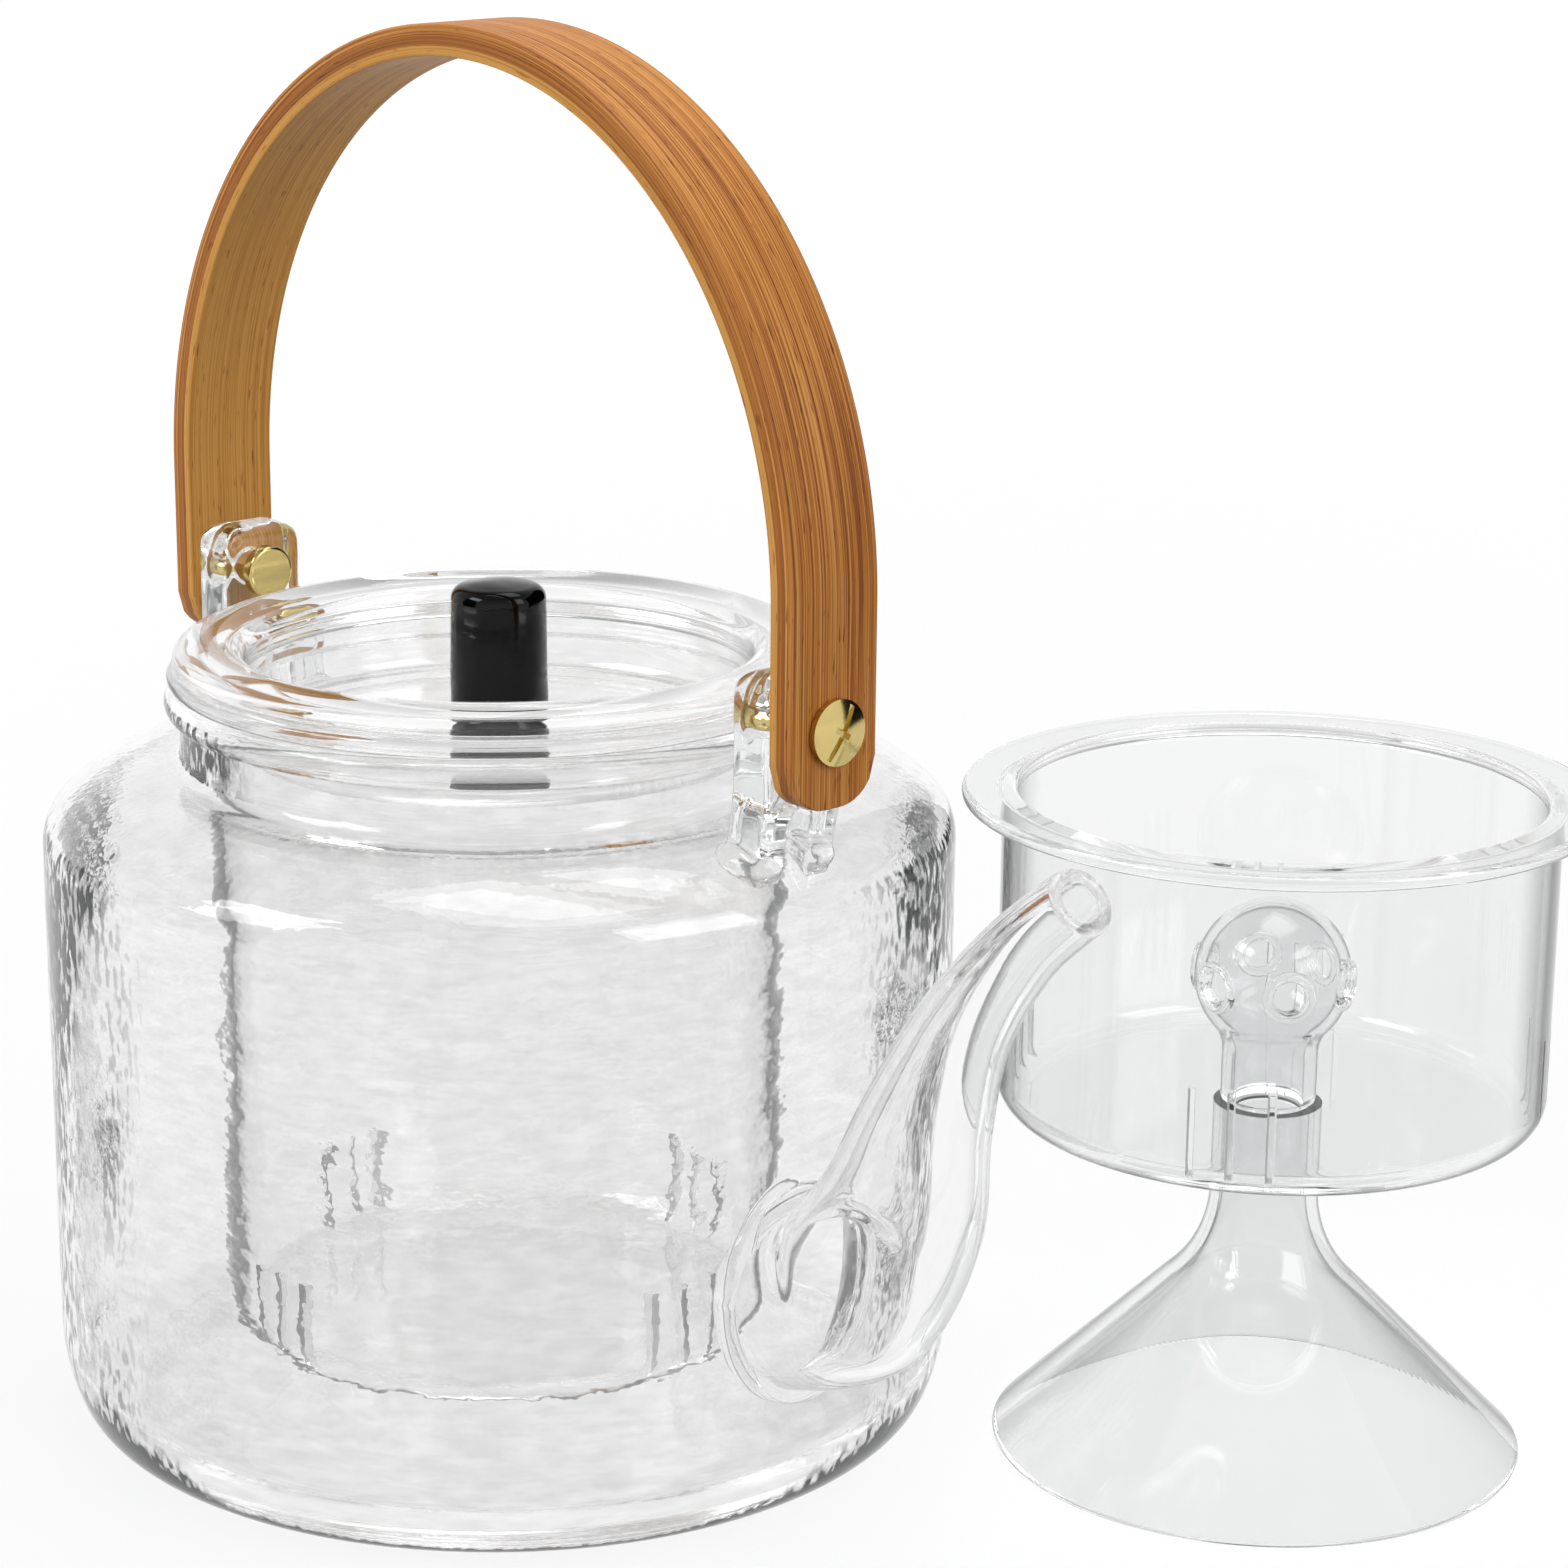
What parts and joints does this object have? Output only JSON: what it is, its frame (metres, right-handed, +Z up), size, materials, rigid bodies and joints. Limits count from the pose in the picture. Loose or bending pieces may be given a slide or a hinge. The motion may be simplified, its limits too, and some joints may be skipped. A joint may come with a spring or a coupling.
{
  "type": "glass teapot",
  "caption": "Glass teapot with a curved spout, dished lid, hanging tea infuser and folding bamboo handle, and a glass steam infuser that stands beside it.",
  "frame": {"origin": "centre of the flat that the pot rests on", "axes": "+Z up, +X towards the spout and along the handle's pivots, +Y towards the steam infuser's side"},
  "size_m": [0.2158, 0.193, 0.2148],
  "materials": {
    "hammered_glass": "clear borosilicate glass with a hammered surface",
    "clear_glass": "smooth clear borosilicate glass",
    "black_glass": "polished opaque black glass",
    "brass": "polished brass",
    "bamboo_skin": "honey-brown carbonised bamboo, satin lacquer",
    "bamboo_core": "lighter bamboo, satin lacquer"
  },
  "bodies": {
    "pot": {"pot_body": "hammered_glass", "spout": "clear_glass", "front_lug": "clear_glass", "rear_lug": "clear_glass", "front_barrel": "brass", "rear_barrel": "brass", "front_screw": "brass", "rear_screw": "brass"},
    "handle": {"handle_outer_ply": "bamboo_skin", "handle_core_ply": "bamboo_core", "handle_inner_ply": "bamboo_core"},
    "infuser": {"tea_infuser": "clear_glass"},
    "lid": {"lid_dish": "clear_glass", "lid_knob": "black_glass"},
    "steam_infuser": {"steam_cup": "clear_glass", "steam_tube": "clear_glass", "steam_funnel": "clear_glass"}
  },
  "joints": [
    {"name": "handle_swing", "type": "hinge", "parent": "pot", "child": "handle", "pos_m": [0, 0, 0.1226], "axis": [1, 0, 0], "range_deg": [-90, 90]},
    {"name": "infuser_lift", "type": "slide", "parent": "pot", "child": "infuser", "axis": [0, 0, 1], "range_m": [0, 0.062]},
    {"name": "lid_lift", "type": "slide", "parent": "infuser", "child": "lid", "axis": [0, 0, 1], "range_m": [0, 0.062]},
    {"name": "steam_infuser_lift", "type": "slide", "parent": "pot", "child": "steam_infuser", "axis": [0, 0, 1], "range_m": [0, 0.15]}
  ]
}
